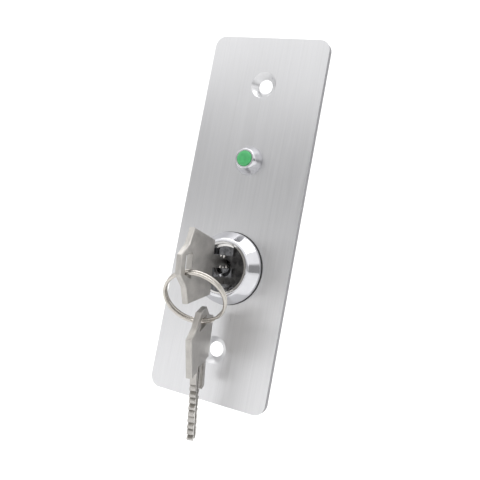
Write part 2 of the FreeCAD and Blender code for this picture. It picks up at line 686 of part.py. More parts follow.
def plug_shape():
    """Plug with keyway, recessed face, wafer slots, clip groove and square tail."""
    head = cylinder("plug_head_disc", PLUG_HEAD, PLUG_NECK, "Dims.plug_face")
    body = cylinder("plug_core", "Dims.plug_radius", PLUG_SHOULDER, PLUG_NECK)
    square = either_side("Dims.tail_square / 2")
    tail = block("plug_tail", square, square, (f"{CAM_BACK} + 0.1", PLUG_SHOULDER))
    blank = fuse("plug_blank", head, body, tail)

    above = "Dims.plug_face + 1"
    recess_floor = "(Dims.plug_face - Dims.recess_depth)"
    recess = block("face_recess", either_side("Dims.recess_half_width"),
                   ("-Dims.recess_bottom", f"{PLUG_HEAD} + 1"), (recess_floor, above))
    deep_pocket = block("deep_pocket", either_side("Dims.pocket_half_width"),
                        ("Dims.pocket_bottom", f"{PLUG_HEAD} + 1"),
                        ("Dims.plug_face - Dims.pocket_depth", above))
    funnel = cone("keyway_funnel", "Dims.funnel_radius - Dims.funnel_depth", "Dims.funnel_radius",
                  f"{recess_floor} - Dims.funnel_depth", recess_floor)
    keyway = block("keyway", either_side(KEYWAY_HALF), BLADE_ROOM, (f"{BLADE_TIP} - 0.5", above))
    tongue_slot = block("tongue_slot", either_side(KEYWAY_HALF),
                        ("-Dims.tongue_outer - Dims.keyway_clearance",
                         "-Dims.tongue_inner + Dims.keyway_clearance"),
                        ("Dims.plug_face - Dims.slot_depth", above))
    index = cylinder("index_mark", "Dims.index_radius", "Dims.plug_face - 0.8", above,
                     "0.4", "-Dims.index_place")
    tools = [recess, deep_pocket, funnel, keyway, tongue_slot, index]
    for number in range(whole("wafer_count")):
        tools += wafer_room(number)
    groove_low = f"{CLIP_TOP} - Dims.clip - 0.05"
    tools.append(tube("clip_groove_ring", "Dims.plug_radius + 1", CLIP_SEAT,
                      groove_low, f"{groove_low} + Dims.clip_groove"))
    tools.append(cylinder("tail_thread", "Dims.tail_thread_radius", f"{CAM_BACK} - 1",
                          f"{CAM_BACK} + Dims.tail_thread_depth"))
    piece(cut("plug_cut", blank, *tools), "plug", LOCK_FRAME)


def wafer_room(number):
    """The slot that a wafer stands in and the pocket of its spring."""
    middle = wafer_place(number)
    half = "(Dims.wafer / 2 + Dims.running_clearance)"
    thick = (f"{middle} - {half}", f"{middle} + {half}")
    slot = block(f"wafer_slot_{number}", either_side("Dims.wafer_half_width + Dims.running_clearance"),
                 either_side("Dims.plug_radius + 1"), thick)
    lug = block(f"wafer_lug_room_{number}", ("0", "Dims.wafer_lug + Dims.running_clearance"),
                ("-Dims.wafer_spring_foot", "Dims.plug_radius + 1"), thick)
    return [slot, lug]


def wafers_and_springs():
    """Each wafer is a plate trimmed to the plug, with a window clear of the blade."""
    for number in range(whole("wafer_count")):
        middle = wafer_place(number)
        thick = (f"{middle} - Dims.wafer / 2", f"{middle} + Dims.wafer / 2")
        beyond = (f"{middle} - Dims.wafer", f"{middle} + Dims.wafer")
        plate = block(f"wafer_plate_{number}", either_side("Dims.wafer_half_width"),
                      either_side("Dims.plug_radius"), thick)
        lug = block(f"wafer_lug_{number}", ("0", "Dims.wafer_lug"),
                    ("Dims.wafer_lug_bottom", "Dims.wafer_lug_top"), thick)
        disc = cylinder(f"wafer_disc_{number}", "Dims.plug_radius - Dims.running_clearance", *thick)
        trimmed = common(f"wafer_trimmed_{number}", fuse(f"wafer_blank_{number}", plate, lug), disc)
        window = block(f"wafer_window_{number}", either_side(KEYWAY_HALF), BLADE_ROOM, beyond)
        piece(cut(f"wafer_cut_{number}", trimmed, window), f"wafer_{number + 1}", LOCK_FRAME)
        solid_piece(f"wafer_spring_{number + 1}", wafer_spring(number), frame_placement(LOCK_FRAME))


def wafer_spring(number):
    """A small compression spring that stands under the wafer's lug."""
    wire = size_of("wafer_wire_radius")
    foot = -size_of("wafer_spring_foot") + wire
    height = size_of("wafer_lug_bottom") - wire - foot - 0.02
    pitch = height / whole("wafer_spring_coils")
    side = size_of("wafer_spring_side")
    along = -size_of("wafer_first") - number * size_of("wafer_pitch")
    place = FreeCAD.Vector(side, foot, along)
    return coil(size_of("wafer_spring_radius") - wire, pitch, height, wire, place)


def coil(radius, pitch, height, wire, foot):
    """A helical spring about the upright (y) axis through its foot."""
    spine = Part.Wire(Part.makeHelix(pitch, height, radius).Edges)
    start = FreeCAD.Vector(radius, 0, 0)
    heading = FreeCAD.Vector(0, 2 * math.pi * radius, pitch)
    profile = Part.Wire([Part.makeCircle(wire, start, heading)])
    shape = spine.makePipeShell([profile], True, True)
    turn = FreeCAD.Rotation(FreeCAD.Vector(1, 0, 0), -90)
    return shape.transformGeometry(FreeCAD.Placement(foot, turn).toMatrix())


def lock_back_pieces():
    clip_low = f"{CLIP_TOP} - Dims.clip"
    ring = tube("clip_ring", CLIP_EDGE, f"{CLIP_SEAT} + Dims.press_clearance", clip_low, CLIP_TOP)
    mouth = block("clip_mouth", either_side(f"{CLIP_SEAT} * 0.7"), ("0", f"{CLIP_EDGE} + 1"),
                  (f"{clip_low} - 1", f"{CLIP_TOP} + 1"))
    piece(cut("clip_cut", ring, mouth), "retaining_clip", LOCK_FRAME)

    stop_low = f"{STOP_TOP} - Dims.stop_washer"
    hole = square_hole("stop_hole", f"{stop_low} - 1", f"{STOP_TOP} + 1")
    disc = cylinder("stop_disc", STOP_WASHER_EDGE, stop_low, STOP_TOP)
    notch = sector("stop_notch", f"{STOP_INNER} - 0.3", f"{STOP_WASHER_EDGE} + 1",
                   f"{stop_low} - 0.5", f"{STOP_TOP} + 0.5",
                   "-90 - Dims.stop_half_angle - Dims.stop_play",
                   "Dims.turn_angle + 2 * Dims.stop_half_angle + 2 * Dims.stop_play")
    piece(cut("stop_cut", disc, hole, notch), "stop_washer", LOCK_FRAME)

    washer_low = f"{CAM_BACK} - Dims.cam_washer"
    washer = tube("cam_washer_ring", "Dims.cam_washer_radius", "Dims.cam_screw_radius + 0.3",
                  washer_low, CAM_BACK)
    piece(washer, "cam_washer", LOCK_FRAME)

    head_low = f"{washer_low} - Dims.cam_screw_head"
    head = cylinder("cam_screw_head_disc", "Dims.cam_screw_head_radius", head_low, washer_low)
    shank = cylinder("cam_screw_shank", "Dims.cam_screw_radius", washer_low,
                     f"{washer_low} + Dims.cam_screw_length")
    cross = cross_recess("cam_screw_cross", "Dims.cam_screw_head_radius * 0.6", head_low,
                         "Dims.cam_screw_head * 0.6")
    piece(cut("cam_screw_cut", fuse("cam_screw_blank", head, shank), *cross), "cam_screw", LOCK_FRAME)

    washer = toothed_washer("lock_washer_teeth", LOCK_WASHER_EDGE,
                            f"({BARREL} + Dims.press_clearance)", WASHER_BACK, BRACKET_BACK)
    piece(washer, "lock_washer", LOCK_FRAME)
    nut = nut_shape("lock_nut_shape", NUT_FLATS, f"({BARREL} + Dims.press_clearance)",
                    f"{WASHER_BACK} - Dims.lock_nut", WASHER_BACK)
    piece(nut, "lock_nut", LOCK_FRAME)


def square_hole(name, low, high):
    side = either_side("Dims.tail_square / 2 + Dims.press_clearance")
    return block(name, side, side, (low, high))


def cross_recess(name, reach, face, depth, x="0", y="0"):
    """Two crossed slots in a screw head whose face looks towards the back."""
    span = (f"({face}) - 1", f"({face}) + {depth}")
    along_x = (f"{x} - ({reach})", f"{x} + ({reach})")
    along_y = (f"{y} - ({reach})", f"{y} + ({reach})")
    thin_x = (f"{x} - ({reach}) / 5", f"{x} + ({reach}) / 5")
    thin_y = (f"{y} - ({reach}) / 5", f"{y} + ({reach}) / 5")
    return [block(name + "_level", along_x, thin_y, span), block(name + "_upright", thin_x, along_y, span)]


# ---------------------------------------------------------------- cam and switch


def cam_piece():
    """A snail cam: its radius grows evenly with the angle under the plunger."""
    low_radius = size_of("cam_low_radius")
    turn = size_of("turn_angle")
    margin = 12
    growth = size_of("cam_lift") / turn
    steps = 24
    swept = [-margin + (turn + 2 * margin) * i / steps for i in range(steps + 1)]
    top = value_of(CAM_TOP)
    curve = [radial(low_radius + growth * angle, angle + 90, top) for angle in swept]
    spiral = Part.BSplineCurve()
    spiral.interpolate(curve)
    rest_radius = low_radius - growth * margin
    half_way = (turn + 360) / 2 + 90
    step = radial(rest_radius, turn + margin + 90, top)
    back = Part.Arc(step, radial(rest_radius, half_way, top), curve[0])
    drop = Part.LineSegment(curve[-1], step)
    outline = Part.Wire([spiral.toShape(), drop.toShape(), back.toShape()])
    thickness = size_of("cam")
    disc = Part.Face(outline).extrude(FreeCAD.Vector(0, 0, -thickness))
    side = size_of("tail_square") + 2 * size_of("press_clearance")
    corner = FreeCAD.Vector(-side / 2, -side / 2, top - thickness - 1)
    hole = Part.makeBox(side, side, thickness + 2, corner)
    solid_piece("cam", disc.cut(hole), frame_placement(SWITCH_FRAME))


def radial(radius, degrees, height):
    angle = math.radians(degrees)
    return FreeCAD.Vector(radius * math.cos(angle), radius * math.sin(angle), height)


def switch_bracket():
    """Sheet bracket: foot under the lock nut, web to the back, tab behind the barrel."""
    body = new_body("bracket_body")
    profile = sketch_on(body, "YZ_Plane", "bracket_profile")
    foot_front, foot_back = "-Dims.plate_thickness", BRACKET_BACK
    web_in, web_out = BRACKET_WEB, f"{BRACKET_WEB} + Dims.bracket"
    tab_back = CASE_FRONT
    tab_front = f"{CASE_FRONT} + Dims.bracket"
    toe = f"-({LOCK_HOLE} + Dims.bracket_toe)"
    tab_end = f"({BARREL} + Dims.bracket_tab_gap)"
    polygon(profile, [
        (toe, foot_front),
        (web_out, foot_front),
        (web_out, tab_back),
        (tab_end, tab_back),
        (tab_end, tab_front),
        (web_in, tab_front),
        (web_in, foot_back),
        (toe, foot_back),
    ])
    sheet = pad(body, profile, f"2 * {BRACKET_HALF}", midplane=True)
    doc.recompute()
    outer = value_of(BRACKET_WEB) + size_of("bracket")

    def at_a_bend(edge):
        level = abs(edge.tangentAt(edge.FirstParameter).x) > 0.99
        return level and abs(edge.CenterOfMass.y - outer) < 1e-6

    dress(body, "Fillet", sheet, edges_where(sheet, at_a_bend), "Dims.bracket")
    barrel = cylinder("bracket_barrel", LOCK_HOLE, "-Dims.plate_thickness - 3", "1")
    screws = [cylinder(f"bracket_screw_{i}", "Dims.switch_hole_radius", f"{tab_back} - 2",
                       f"{tab_back} + 3", x, y)
              for i, (x, y) in enumerate(fixing_places())]
    piece(cut("bracket_cut", body, barrel, *screws), "switch_bracket", SWITCH_FRAME)


def fixing_places():
    height = f"({SWITCH_BASE} + Dims.switch_hole_height)"
    return [(f"(Dims.switch_offset {sign} Dims.switch_hole_pitch / 2)", height) for sign in "-+"]


CASE_X = ("(Dims.switch_offset - Dims.switch_length / 2)", "(Dims.switch_offset + Dims.switch_length / 2)")
CASE_Y = (SWITCH_BASE, f"({SWITCH_BASE} + Dims.switch_height)")
INSIDE_X = (f"({CASE_X[0]} + Dims.switch_wall)", f"({CASE_X[1]} - Dims.switch_wall)")
INSIDE_Y = (f"({CASE_Y[0]} + Dims.switch_wall)", f"({CASE_Y[1]} - Dims.switch_wall)")
LEAF_Y = f"({SWITCH_BASE} + Dims.leaf_height)"
TIP_LIFT = "(Dims.cam_lift * (Dims.contact_place + Dims.leaf_pivot) / Dims.leaf_pivot)"
STRIP_Z = (f"({CAM_MIDDLE} - Dims.terminal_width / 2)", f"({CAM_MIDDLE} + Dims.terminal_width / 2)")
# Where the three terminal strips stand, beside the plunger.
COM_X = (f"({INSIDE_X[0]} + 0.1)", f"({INSIDE_X[0]} + 0.1 + Dims.terminal)")
NC_X = (f"({INSIDE_X[1]} - 0.1 - Dims.terminal)", f"({INSIDE_X[1]} - 0.1)")
NO_X = ("(Dims.switch_offset - Dims.terminal / 2)", "(Dims.switch_offset + Dims.terminal / 2)")


def switch_case_and_cover():
    fixing = fixing_places()
    through = (f"{CASE_BACK} - 1", f"{CASE_FRONT} + 1")
    holes = [cylinder(f"case_hole_{i}", "Dims.switch_hole_radius", *through, x, y)
             for i, (x, y) in enumerate(fixing)]
    bosses = [cylinder(f"case_boss_{i}", "Dims.switch_boss_radius", COVER_FRONT,
                       f"{CASE_FRONT} - 0.5", x, y)
              for i, (x, y) in enumerate(fixing)]
    shell = block("case_shell", CASE_X, CASE_Y, (COVER_FRONT, CASE_FRONT))
    room = block("case_room", INSIDE_X, INSIDE_Y,
                 (f"{COVER_FRONT} - 1", f"{CASE_FRONT} - Dims.switch_wall"))
    open_case = cut("case_open", shell, room)
    guide_half = "(Dims.plunger / 2 + Dims.running_clearance)"
    guide = block("case_guide", either_side(guide_half), (f"{CASE_Y[0]} - 1", f"{INSIDE_Y[0]} + 0.5"),
                  (f"{CAM_MIDDLE} - {guide_half}", f"{CAM_MIDDLE} + {guide_half}"))
    slots = terminal_slots()
    with_bosses = fuse("case_bosses", open_case, *bosses)
    piece(cut("case_cut", with_bosses, guide, *holes, *slots), "switch_case", SWITCH_FRAME)

    lid = block("cover_plate", CASE_X, CASE_Y, (CASE_BACK, COVER_FRONT))
    lid_room = block("cover_room", INSIDE_X, INSIDE_Y, (f"{COVER_FRONT} - 0.55", f"{COVER_FRONT} + 1"))
    lid_bosses = [cylinder(f"cover_boss_{i}", "Dims.switch_boss_radius", CASE_BACK, COVER_FRONT, x, y)
                  for i, (x, y) in enumerate(fixing)]
    lid_guide = block("cover_guide", either_side(guide_half), (f"{CASE_Y[0]} - 1", f"{INSIDE_Y[0]} + 0.5"),
                      (f"{CAM_MIDDLE} - {guide_half}", f"{CAM_MIDDLE} + {guide_half}"))
    lid_holes = [cylinder(f"cover_hole_{i}", "Dims.switch_hole_radius", *through, x, y)
                 for i, (x, y) in enumerate(fixing)]
    whole_lid = fuse("cover_bosses", cut("cover_open", lid, lid_room), *lid_bosses)
    piece(cut("cover_cut", whole_lid, lid_guide, *lid_holes, *terminal_slots("cover_slot")), "switch_cover",
          SWITCH_FRAME)


def terminal_slots(name="case_slot"):
    """Slots in the wall that the three terminal strips come out of."""
    slots = []
    for label, (low, high) in (("com", COM_X), ("no", NO_X), ("nc", NC_X)):
        slots.append(block(f"{name}_{label}", (f"{low} - 0.03", f"{high} + 0.03"),
                           (f"{INSIDE_Y[1]} - 0.5", f"{CASE_Y[1]} + 1"),
                           (f"{STRIP_Z[0]} - 0.03", f"{STRIP_Z[1]} + 0.03")))
    return slots


def plunger_piece():
    """Square plunger with a round nose on the cam, a collar and a nib under the leaf."""
    half = "Dims.plunger / 2"
    nose_y = "(Dims.cam_low_radius + Dims.running_clearance + Dims.plunger / 2)"
    span = (f"{CAM_MIDDLE} - {half}", f"{CAM_MIDDLE} + {half}")
    nose = cylinder("plunger_nose", half, *span, "0", nose_y)
    collar_low = f"({INSIDE_Y[0]} + 0.1)"
    collar_top = f"({collar_low} + Dims.plunger_collar_height)"
    stem = block("plunger_stem", either_side(half), (nose_y, collar_low), span)
    collar = block("plunger_collar_plate", either_side(f"{half} + Dims.plunger_collar"),
                   (collar_low, collar_top), span)
    nib = block("plunger_nib", either_side("0.25"),
                (collar_top, f"{LEAF_Y} - Dims.running_clearance"), span)
    piece(fuse("plunger_whole", nose, stem, collar, nib), "switch_plunger", SWITCH_FRAME)


def contact_button(name, x, low, high):
    """A round contact that stands along the plunger's direction."""
    item = doc.addObject("Part::Cylinder", name)
    bind(item, Radius="Dims.contact_radius", Height=f"({high}) - ({low})")
    item.setExpression("Placement", f"placement(vector({x}; {low}; {CAM_MIDDLE}); rotationx(-90))")
    return item


def leaf_piece():
    """The moving contact: a strip that rocks at the common terminal."""
    width = (f"{CAM_MIDDLE} - Dims.leaf_width / 2", f"{CAM_MIDDLE} + Dims.leaf_width / 2")
    strip = block("leaf_strip", ("-Dims.leaf_pivot", "Dims.leaf_reach"),
                  (LEAF_Y, f"{LEAF_Y} + Dims.leaf"), width)
    button = contact_button("leaf_button", "Dims.contact_place", f"{LEAF_Y} - Dims.contact_height",
                            f"{LEAF_Y} + Dims.leaf + Dims.contact_height")
    piece(fuse("leaf_whole", strip, button), "contact_leaf", SWITCH_FRAME)


def terminal_pieces():
    """Common, normally closed and normally open terminals with soldering eyes."""
    tip = f"({CASE_Y[1]} + Dims.terminal_reach)"
    closed_top = f"({LEAF_Y} - Dims.contact_height - Dims.contact_gap)"
    closed_arm = f"({closed_top} - Dims.contact_height)"
    open_low = f"({LEAF_Y} + Dims.leaf + Dims.contact_height + {TIP_LIFT} + Dims.contact_gap)"
    open_arm = f"({open_low} + Dims.contact_height)"
    strips = {
        "terminal_com": [
            block("com_strip", COM_X, (f"{LEAF_Y} - 0.6", tip), STRIP_Z),
            block("com_foot", (COM_X[0], "-Dims.leaf_pivot + 0.4"),
                  (f"{LEAF_Y} - 0.6", f"{LEAF_Y} - 0.1"), STRIP_Z),
        ],
        "terminal_nc": [
            block("nc_strip", NC_X, (f"{closed_arm} - Dims.terminal", tip), STRIP_Z),
            block("nc_arm", ("Dims.contact_place - 1", NC_X[1]),
                  (f"{closed_arm} - Dims.terminal", closed_arm), STRIP_Z),
            contact_button("nc_button", "Dims.contact_place", closed_arm, closed_top),
        ],
        "terminal_no": [
            block("no_strip", NO_X, (open_arm, tip), STRIP_Z),
            block("no_arm", (NO_X[0], "Dims.contact_place + 1"),
                  (open_arm, f"{open_arm} + Dims.terminal"), STRIP_Z),
            contact_button("no_button", "Dims.contact_place", open_low, open_arm),
        ],
    }
    for name, items in strips.items():
        strip_x = {"terminal_com": COM_X, "terminal_nc": NC_X, "terminal_no": NO_X}[name]
        eye = doc.addObject("Part::Cylinder", name + "_eye")
        bind(eye, Radius="Dims.terminal_eye", Height=f"({strip_x[1]}) - ({strip_x[0]}) + 2")
        eye.setExpression("Placement", f"placement(vector({strip_x[0]} - 1; {tip} - 1.5; {CAM_MIDDLE});"
                                       " rotationy(90))")
        blank = items[0] if len(items) == 1 else fuse(name + "_blank", *items)
        piece(cut(name + "_cut", blank, eye), name, SWITCH_FRAME)


def switch_fixings():
    """Two screws from the back through cover, case and tab, with nuts in front."""
    screws, nuts = [], []
    tab_front = f"({CASE_FRONT} + Dims.bracket)"
    for i, (x, y) in enumerate(fixing_places()):
        head_face = f"{CASE_BACK} - Dims.fixing_head"
        head = cylinder(f"fixing_head_{i}", "Dims.fixing_head_radius", head_face, CASE_BACK, x, y)
        shank = cylinder(f"fixing_shank_{i}", "Dims.fixing_radius", CASE_BACK,
                         f"{tab_front} + Dims.fixing_nut + 0.6", x, y)
        blank = fuse(f"fixing_blank_{i}", head, shank)
        cross = cross_recess(f"fixing_cross_{i}", "Dims.fixing_head_radius * 0.65", head_face,
                             "Dims.fixing_head * 0.6", x, y)
        screws.append(cut(f"fixing_screw_{i}", blank, *cross))
        nut = hexagon(f"fixing_nut_blank_{i}", "Dims.fixing_nut_flats", tab_front,
                      f"{tab_front} + Dims.fixing_nut", x, y)
        bore = cylinder(f"fixing_nut_bore_{i}", "Dims.fixing_radius + Dims.press_clearance",
                        f"{tab_front} - 1", f"{tab_front} + Dims.fixing_nut + 1", x, y)
        nuts.append(cut(f"fixing_nut_{i}", nut, bore))
    piece(fuse("fixing_screws", *screws), "switch_screws", SWITCH_FRAME)
    piece(fuse("fixing_nuts", *nuts), "switch_nuts", SWITCH_FRAME)


# ---------------------------------------------------------------- keys and ring


def key_piece(name, frame):
    """A flat key: bow with an eye, blade with cuts on both edges, guiding tongue."""
    body = new_body(name + "_body")
    outline = sketch_on(body, "YZ_Plane", name + "_outline")
    polygon(outline, key_outline())
    flat = pad(body, outline, "Dims.key", midplane=True)
    doc.recompute()
    bow_top = size_of("bow_length")

    def round_the_bow(edge):
        along = edge.tangentAt(edge.FirstParameter)
        behind = edge.CenterOfMass.z > size_of("bow_corner") * 0.3
        return abs(along.x) < 0.01 and behind and edge.CenterOfMass.z < bow_top + 1

    dress(body, "Chamfer", flat, edges_where(flat, round_the_bow), "Dims.bow_edge")
    eye = sketch_on(body, "YZ_Plane", name + "_eye")
    polygon(eye, [
        ("-Dims.eye_near", "Dims.eye_start"),
        ("Dims.eye_near", "Dims.eye_start"),
        ("Dims.eye_far", "Dims.eye_end"),
        ("-Dims.eye_far", "Dims.eye_end"),
    ])
    pocket(body, eye)
    cuts = sketch_on(body, "YZ_Plane", name + "_cuts")
    for number in range(whole("cut_count")):
        place = f"(-Dims.cut_first - {number} * Dims.cut_pitch)"
        for edge, sign, pattern in (
            ("Dims.blade_top", "", (0, 2, 1, 3, 1)),
            (BLADE_LOW, "-", (2, 1, 3, 0, 2)),
        ):
            depth = f"(Dims.cut_shallow + {pattern[number % len(pattern)]} * Dims.cut_step)"
            outside = f"{edge} + ({sign}0.3)"
            polygon(cuts, [
                (outside, f"{place} - Dims.cut_half_width"),
                (outside, f"{place} + Dims.cut_half_width"),
                (f"{edge} - ({sign}{depth})", place),
            ])
    pocket(body, cuts)
    grooves = sketch_on(body, "XY_Plane", name + "_grooves", "1")
    low = f"({BLADE_LOW} + Dims.blade_height / 2 - Dims.blade_groove / 2)"
    high = f"({low} + Dims.blade_groove)"
    for sign in ("", "-"):
        outer = f"{sign}(Dims.key / 2 + 1)"
        inner = f"{sign}(Dims.key / 2 - Dims.blade_groove_depth)"
        polygon(grooves, [(inner, low), (outer, low), (outer, high), (inner, high)])
    pocket(body, grooves, "Dims.blade_length + 4")
    piece(body, name, frame)


def key_outline():
    """Half of the bow from the blade to the end, mirrored, with the tongue on one side."""
    half_bow = [
        ("Dims.bow_front", "0"),
        ("Dims.bow_back", "Dims.bow_corner"),
        ("Dims.bow_shoulder", "Dims.bow_shoulder_place"),
        ("Dims.bow_tab", "Dims.bow_length"),
    ]
    mirrored = [("-" + width, place) for width, place in reversed(half_bow)]
    tongue = [
        ("-Dims.tongue_outer", "0"),
        ("-Dims.tongue_outer", "-Dims.tongue_length"),
        ("-Dims.tongue_inner", "-Dims.tongue_length"),
        ("-Dims.tongue_inner", "0"),
    ]
    blade = [
        (BLADE_LOW, "0"),
        (BLADE_LOW, "-Dims.blade_length + Dims.blade_tip"),
        (f"{BLADE_LOW} + Dims.blade_tip", "-Dims.blade_length"),
        ("Dims.blade_top - Dims.blade_tip", "-Dims.blade_length"),
        ("Dims.blade_top", "-Dims.blade_length + Dims.blade_tip"),
        ("Dims.blade_top", "0"),
    ]
    return half_bow + mirrored + tongue + blade


def key_ring():
    """A split ring: two turns of wire side by side, each with its own end gap."""
    turns = []
    for number, side in enumerate(("-", "")):
        torus = doc.addObject("Part::Torus", f"ring_turn_{number}")
        bind(torus, Radius1="Dims.ring_radius", Radius2="Dims.ring_wire")
        bind(torus, Placement_Base_y="-Dims.ring_radius",
             Placement_Base_z=f"{side}Dims.ring_turns_apart / 2")
        gap_low = "0.05" if side == "" else "-Dims.ring_wire - Dims.ring_turns_apart"
        gap_high = "Dims.ring_wire + Dims.ring_turns_apart" if side == "" else "-0.05"
        reach = ("Dims.ring_radius - Dims.ring_wire - 1", "Dims.ring_radius + Dims.ring_wire + 1")
        slit = f"({side}1.5 - Dims.ring_radius)"
        across = (f"{slit} - Dims.ring_slit / 2", f"{slit} + Dims.ring_slit / 2")
        gap = block(f"ring_gap_{number}", reach, across, (gap_low, gap_high))
        turns.append(cut(f"ring_open_{number}", torus, gap))
    piece(fuse("ring_whole", *turns), "key_ring", RING_FRAME)


# ---------------------------------------------------------------- build


def build():
    face_plate()
    led_pieces()
    lock_front_pieces()
    lock_housing()
    plug_shape()
    wafers_and_springs()
    lock_back_pieces()
    cam_piece()
    switch_bracket()
    switch_case_and_cover()
    plunger_piece()
    leaf_piece()
    terminal_pieces()
    switch_fixings()
    key_piece("key", KEY_FRAME)
    key_ring()
    key_piece("spare_key", SPARE_FRAME)
    doc.recompute()


def check():
    for item in doc.Objects:
        if "Invalid" in item.State or "Error" in item.State:
            raise RuntimeError(f"{item.Label} failed: {item.State}")
    for item in pieces:
        if item.Shape.isNull() or not item.Shape.isValid():
            raise RuntimeError(f"{item.Label} has no valid shape")


def export():
    os.makedirs("parts", exist_ok=True)
    for item in pieces:
        item.Shape.exportStep(f"parts/{item.Label}.step")
        box = item.Shape.BoundBox
        print(f"{item.Label}: {len(item.Shape.Solids)} solids, {item.Shape.Volume:.2f} mm3,"
              f" y {box.YMin:.2f}..{box.YMax:.2f}")


build()
check()
export()
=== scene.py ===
"""Selector key switch: finishes, broken edges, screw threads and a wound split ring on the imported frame."""

import json
import math

import bmesh
import bpy
from mathutils import Euler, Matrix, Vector


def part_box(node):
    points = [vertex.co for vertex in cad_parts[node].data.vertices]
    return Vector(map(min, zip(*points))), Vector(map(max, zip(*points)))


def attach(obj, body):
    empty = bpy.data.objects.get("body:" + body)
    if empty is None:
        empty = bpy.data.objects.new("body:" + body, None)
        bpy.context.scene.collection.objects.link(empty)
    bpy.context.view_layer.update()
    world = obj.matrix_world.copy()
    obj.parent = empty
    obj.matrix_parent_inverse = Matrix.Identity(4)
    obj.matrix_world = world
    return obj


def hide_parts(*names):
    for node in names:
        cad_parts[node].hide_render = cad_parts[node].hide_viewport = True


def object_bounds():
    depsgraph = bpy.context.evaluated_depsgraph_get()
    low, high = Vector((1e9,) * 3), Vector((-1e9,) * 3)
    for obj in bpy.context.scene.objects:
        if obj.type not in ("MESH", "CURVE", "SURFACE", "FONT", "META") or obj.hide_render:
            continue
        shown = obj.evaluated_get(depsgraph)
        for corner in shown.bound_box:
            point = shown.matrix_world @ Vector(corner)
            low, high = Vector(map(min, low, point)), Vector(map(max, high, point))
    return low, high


MM = 0.001
AHEAD = Vector((0, -1, 0))
BEHIND = Vector((0, 1, 0))

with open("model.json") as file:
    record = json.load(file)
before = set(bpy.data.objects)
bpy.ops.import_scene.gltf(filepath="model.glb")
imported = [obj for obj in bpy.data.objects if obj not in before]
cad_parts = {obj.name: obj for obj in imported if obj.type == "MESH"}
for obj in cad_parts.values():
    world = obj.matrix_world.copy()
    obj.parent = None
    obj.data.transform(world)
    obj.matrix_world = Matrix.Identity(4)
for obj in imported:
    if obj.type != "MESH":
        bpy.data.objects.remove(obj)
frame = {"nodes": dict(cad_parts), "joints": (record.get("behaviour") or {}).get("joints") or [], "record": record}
cad_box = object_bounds()
nodes = frame["nodes"]
joints = {joint["name"]: joint for joint in frame["joints"]}
record = frame["record"]
BODY_OF = {name: body for body, names in record["behaviour"]["bodies"].items() for name in names}
PLATE_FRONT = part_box("face_plate")[0].y


# ---------------------------------------------------------------- materials


class Look:
    """A Principled material with short ways to add noise, ramps and bumps."""

    def __init__(self, name, colour, metallic, roughness):
        self.material = bpy.data.materials.new(name)
        self.material.use_nodes = True
        self.tree = self.material.node_tree
        self.shader = self.tree.nodes["Principled BSDF"]
        self.shader.inputs["Base Color"].default_value = (*colour, 1)
        self.shader.inputs["Metallic"].default_value = metallic
        self.shader.inputs["Roughness"].default_value = roughness
        self.normal = None

    def link(self, out, into):
        self.tree.links.new(out, into)

    def node(self, kind, **settings):
        item = self.tree.nodes.new(kind)
        for key, value in settings.items():
            setattr(item, key, value)
        return item

    def coordinates(self, scale, turn=(0, 0, 0)):
        source = self.node("ShaderNodeTexCoord")
        mapping = self.node("ShaderNodeMapping")
        mapping.inputs["Scale"].default_value = scale
        mapping.inputs["Rotation"].default_value = [math.radians(a) for a in turn]
        self.link(source.outputs["Object"], mapping.inputs["Vector"])
        return mapping.outputs["Vector"]

    def noise(self, scale, detail=4, roughness=0.6, turn=(0, 0, 0)):
        """Noise whose scale is in cycles per metre along each axis."""
        item = self.node("ShaderNodeTexNoise")
        item.inputs["Scale"].default_value = 1.0
        item.inputs["Detail"].default_value = detail
        item.inputs["Roughness"].default_value = roughness
        self.link(self.coordinates(scale, turn), item.inputs["Vector"])
        return item.outputs["Fac"]

    def cells(self, scale):
        """Distance to the nearest of scattered points, in cells per metre along each axis."""
        item = self.node("ShaderNodeTexVoronoi")
        item.inputs["Scale"].default_value = 1.0
        self.link(self.coordinates(scale), item.inputs["Vector"])
        return item.outputs["Distance"]

    def mix(self, first, second, share=0.5):
        item = self.node("ShaderNodeMix")
        item.inputs["Factor"].default_value = share
        self.link(first, item.inputs["A"])
        self.link(second, item.inputs["B"])
        return item.outputs["Result"]

    def tint(self, value, dark, light, from_low=0.3, from_high=0.7):
        """Base colour between two colours."""
        item = self.node("ShaderNodeValToRGB")
        first, second = item.color_ramp.elements
        first.position, second.position = from_low, from_high
        first.color, second.color = (*dark, 1), (*light, 1)
        self.link(value, item.inputs["Fac"])
        self.link(item.outputs["Color"], self.shader.inputs["Base Color"])
        return self

    def rough(self, value, low, high):
        """Roughness between two values."""
        item = self.node("ShaderNodeMapRange")
        item.inputs["From Min"].default_value = 0.3
        item.inputs["From Max"].default_value = 0.7
        item.inputs["To Min"].default_value = low
        item.inputs["To Max"].default_value = high
        self.link(value, item.inputs["Value"])
        self.link(item.outputs["Result"], self.shader.inputs["Roughness"])
        return self

    def bump(self, value, height, strength):
        """Relief of a height in millimetres, laid over any relief already there."""
        item = self.node("ShaderNodeBump")
        item.inputs["Strength"].default_value = strength
        item.inputs["Distance"].default_value = height * MM
        self.link(value, item.inputs["Height"])
        if self.normal is not None:
            self.link(self.normal, item.inputs["Normal"])
        self.normal = item.outputs["Normal"]
        self.link(self.normal, self.shader.inputs["Normal"])
        return self


def shade(colour, factor):
    return tuple(min(1.0, part * factor) for part in colour)


